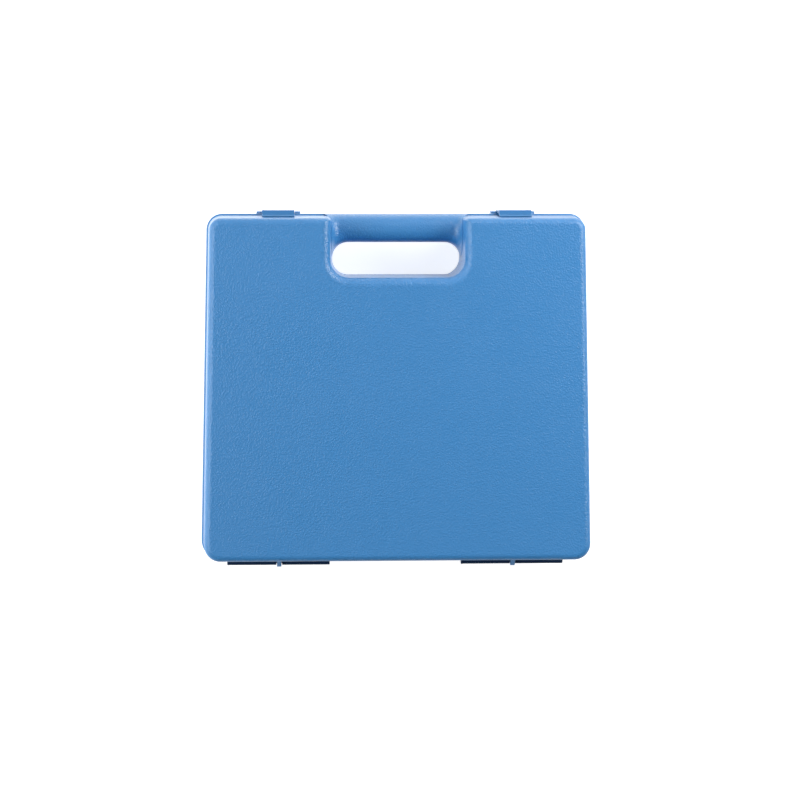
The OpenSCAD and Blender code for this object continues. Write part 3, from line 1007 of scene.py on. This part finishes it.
def open_cell_foam(name, colour):
    n = Nodes(name)
    fine, coarse = n.cells(1500), n.cells(620, n.warped(400, 0.9 * MM))
    n.bump(n.total(fine, 0.6, coarse, 0.6), 0.35)
    # Painted shade and light: the hollows of the coarse cells are darker and their rims lighter.
    n.set("Base Color", n.blend(n.remap(coarse, 0, 0.8, 0, 1), shade(colour, 0.55), shade(colour, 1.35)))
    n.set("Roughness", 0.95)
    n.set("Specular IOR Level", 0.15)
    n.set("Sheen Weight", 0.25)
    n.set("Sheen Roughness", 0.6)
    return n.material


def dress(obj, *materials):
    obj.data.materials.clear()
    for material in materials:
        obj.data.materials.append(material)


# ---------------------------------------------------------------- assembly

CASE_BLUE = (0.040, 0.215, 0.500)
LATCH_BLUE = (0.045, 0.195, 0.430)
# The hinge's navy is painted shade: a colour far darker than the case's blue, put where the hinge blocks
# lie in the case's shade.
HINGE_SHADE_NAVY = (0.004, 0.026, 0.075)
FOAM_GREY = (0.035, 0.036, 0.040)

case_outside = moulded_plastic("case_plastic_grained", CASE_BLUE, 1.5, 0.24, 0.31, 0.75)
case_inside = moulded_plastic("case_plastic_smooth", CASE_BLUE, 0.9, 0.015, 0.36)
latch_skin = moulded_plastic("latch_plastic_satin", LATCH_BLUE, 0.8, 0.02, 0.34, 0.6)
# The hinge material carries the painted-shade navy, on the hinge blocks and their pins.
hinge_shade_skin = moulded_plastic("hinge_plastic_shade_navy", HINGE_SHADE_NAVY, 0.8, 0.02, 0.50, 0.2)
steel = zinc_steel("pin_steel_zinc")
foam_skin = open_cell_foam("foam_open_cell", FOAM_GREY)


def show(obj, body, node, slot, *materials):
    """Gives a piece its materials and its body, and hides the CAD node that it stands for. Its slot is
    not used.
    """
    dress(obj, *materials)
    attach(obj, body)
    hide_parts(node)


show(base_moulding(), "base", "base_shell", "case_plastic", case_outside, case_inside)
show(lid_moulding(), "lid", "lid_shell", "case_plastic", case_outside, case_inside)
for name, side in (("left", 1), ("right", -1)):
    show(latch(name + "_latch_moulding", side), name + "_latch", name + "_latch", "latch_plastic",
         latch_skin)
    show(hinge_block(name + "_hinge_moulding", side), "base", name + "_hinge_block", "hinge_plastic",
         hinge_shade_skin)
    dress(frame["nodes"][name + "_hinge_pin"], hinge_shade_skin)
    dress(frame["nodes"][name + "_latch_pin"], steel)
dress(frame["nodes"]["hinge_screws"], steel)

REACH_X = CASE_W / 2
REACH_Y = (HINGE_Y - HANDLE_Y) / 2 + 2
diced = foam_pad("base_foam_diced", "base_foam", diced_lines(REACH_X), diced_lines(REACH_Y),
                 diced_height, face_up=True)
show(diced, "base", "base_foam", "foam", foam_skin)
eggs = foam_pad("lid_foam_egg_crate", "lid_foam", even_lines(REACH_X, EGG_STEP),
                even_lines(REACH_Y, EGG_STEP), egg_height, face_up=False)
show(eggs, "lid", "lid_foam", "foam", foam_skin)


# ---------------------------------------------------------------- floor, world, lights, camera

# What the object mirrors: a white room that is open to one side and dark on the other
OPEN_SIDE = (0.707, -0.707, 0)
ROOM_EDGE = -0.5
ROOM_CLOSED = 0.0
ROOM_OPEN = 1.3
AS_LIGHT = 0.30

# The floor is mirrored by the same room's rule over a narrow edge. Far off it glows like the world.
FLOOR_EDGE = (-0.1, 0.15)
FLOOR_GLOW = 0.76
GLOW_REACH = (0.4, 2.0)
FLOOR_HALF = 4000


def floor_material():
    """Pale floor: white to the camera where lit, darker in shadow, mirrored from the open side."""
    n = Nodes("floor_white")
    n.set("Base Color", (0.80, 0.80, 0.80))
    n.set("Roughness", 0.9)
    n.set("Specular IOR Level", 0.0)
    rays = n.add("ShaderNodeLightPath")
    towards = n.add("ShaderNodeVectorMath", operation="DOT_PRODUCT")
    towards.inputs[1].default_value = OPEN_SIDE
    n.link(n.place, towards.inputs[0])
    mirrored = n.remap(towards.outputs["Value"], *FLOOR_EDGE, ROOM_CLOSED, ROOM_OPEN)
    through = n.math("MAXIMUM", rays.outputs["Is Glossy Ray"], rays.outputs["Is Transmission Ray"])
    away = n.add("ShaderNodeVectorMath", operation="LENGTH")
    n.link(n.place, away.inputs[0])
    glow = n.remap(away.outputs["Value"], *GLOW_REACH, FLOOR_GLOW, 1.0)
    seen = n.math("MULTIPLY", rays.outputs["Is Camera Ray"], glow)
    n.set("Emission Color", (1, 1, 1))
    n.set("Emission Strength", n.math("ADD", seen, n.math("MULTIPLY", through, mirrored)))
    return n.material


def make_floor():
    corners = [(x * FLOOR_HALF, y * FLOOR_HALF, 0) for x, y in ((-1, -1), (1, -1), (1, 1), (-1, 1))]
    floor = new_object("floor", corners, [[0, 1, 2, 3]])
    floor.data.materials.append(floor_material())


def make_world():
    """White to the camera, weak as light, and in reflections a white room that is open to +x and -y."""
    world = bpy.data.worlds.new("studio")
    bpy.context.scene.world = world
    world.use_nodes = True
    tree = world.node_tree
    background = tree.nodes["Background"]
    background.inputs["Color"].default_value = (1, 1, 1, 1)
    rays = tree.nodes.new("ShaderNodeLightPath")
    direction = tree.nodes.new("ShaderNodeTexCoord")
    towards = tree.nodes.new("ShaderNodeVectorMath")
    towards.operation = "DOT_PRODUCT"
    towards.inputs[1].default_value = OPEN_SIDE
    tree.links.new(direction.outputs["Generated"], towards.inputs[0])
    mirrored = tree.nodes.new("ShaderNodeMapRange")
    mirrored.interpolation_type = "SMOOTHSTEP"
    mirrored.inputs["From Min"].default_value = ROOM_EDGE
    for key, value in (("To Min", ROOM_CLOSED), ("To Max", ROOM_OPEN)):
        mirrored.inputs[key].default_value = value
    tree.links.new(towards.outputs["Value"], mirrored.inputs["Value"])
    strength = AS_LIGHT
    white_rays = (("Is Glossy Ray", mirrored.outputs["Result"]), ("Is Transmission Ray", 1.0),
                  ("Is Camera Ray", 1.0))
    for ray, value in white_rays:
        choice = tree.nodes.new("ShaderNodeMix")
        tree.links.new(rays.outputs[ray], choice.inputs["Factor"])
        for socket, source in ((choice.inputs[2], strength), (choice.inputs[3], value)):
            if isinstance(source, float):
                socket.default_value = source
            else:
                tree.links.new(source, socket)
        strength = choice.outputs[0]
    tree.links.new(strength, background.inputs["Strength"])


def area_light(name, place, aim, size, power, lights=True, mirrored=True):
    """A lamp, which may light the object without glare (not mirrored) or be a highlight only."""
    data = bpy.data.lights.new(name, "AREA")
    data.shape = "RECTANGLE"
    data.size, data.size_y = size
    data.energy = power
    lamp = bpy.data.objects.new(name, data)
    lamp.location = place
    lamp.visible_diffuse = lights
    lamp.visible_glossy = mirrored
    lamp.rotation_euler = (Vector(aim) - Vector(place)).to_track_quat("-Z", "Y").to_euler()
    bpy.context.scene.collection.objects.link(lamp)


# The photograph's frame is 800 pixels wide, with 0.8 mm to a pixel at the seam.
# It looks down from over the case's handle side, a little to the picture's left.
IMAGE_PX = 800
MM_PER_PX = 0.8
CASE_CENTRE_PX = (396.0, 386.9)
CAMERA_UP = 2000
CAMERA_OFF = (85, -150)
SHIFT_Y = -0.08
SENSOR_MM = 36


def make_camera():
    data = bpy.data.cameras.new("camera")
    width = IMAGE_PX * MM_PER_PX
    data.sensor_width = SENSOR_MM
    data.lens = SENSOR_MM * CAMERA_UP / width
    data.shift_y = SHIFT_Y
    case_centre = Vector((0, (HANDLE_Y + HINGE_Y) / 2, SEAM_Z))
    # The image's right is -x and its top is -y
    image_centre = case_centre + Vector(((CASE_CENTRE_PX[0] - IMAGE_PX / 2) * MM_PER_PX,
                                         (IMAGE_PX / 2 - CASE_CENTRE_PX[1]) * MM_PER_PX, 0))
    aim = image_centre + Vector((0, SHIFT_Y * width, 0))
    place = case_centre + Vector((*CAMERA_OFF, CAMERA_UP))
    ahead = (aim - place).normalized()
    right = ahead.cross(Vector((0, -1, 0))).normalized()
    above = right.cross(ahead)
    turn = Matrix((right, above, -ahead)).transposed()
    camera = bpy.data.objects.new("camera", data)
    camera.matrix_world = Matrix.Translation(place * MM) @ turn.to_4x4()
    bpy.context.scene.collection.objects.link(camera)
    bpy.context.scene.camera = camera


make_floor()
make_world()
area_light("left", (1.35, -0.1, 0.60), (0, -0.1, 0.30), (1.6, 1.2), 24, mirrored=False)
area_light("left_gleam", (0.75, -0.1, 0.95), (0, -0.1, 0.08), (0.9, 0.4), 4, lights=False)
area_light("right", (-0.95, -0.25, 0.75), (0, 0, 0.08), (0.6, 0.6), 6.6)
area_light("key", (-0.62, -0.62, 0.62), (0, 0, 0.08), (0.5, 0.5), 5.8)
make_camera()
bpy.context.scene.view_settings.view_transform = "Standard"
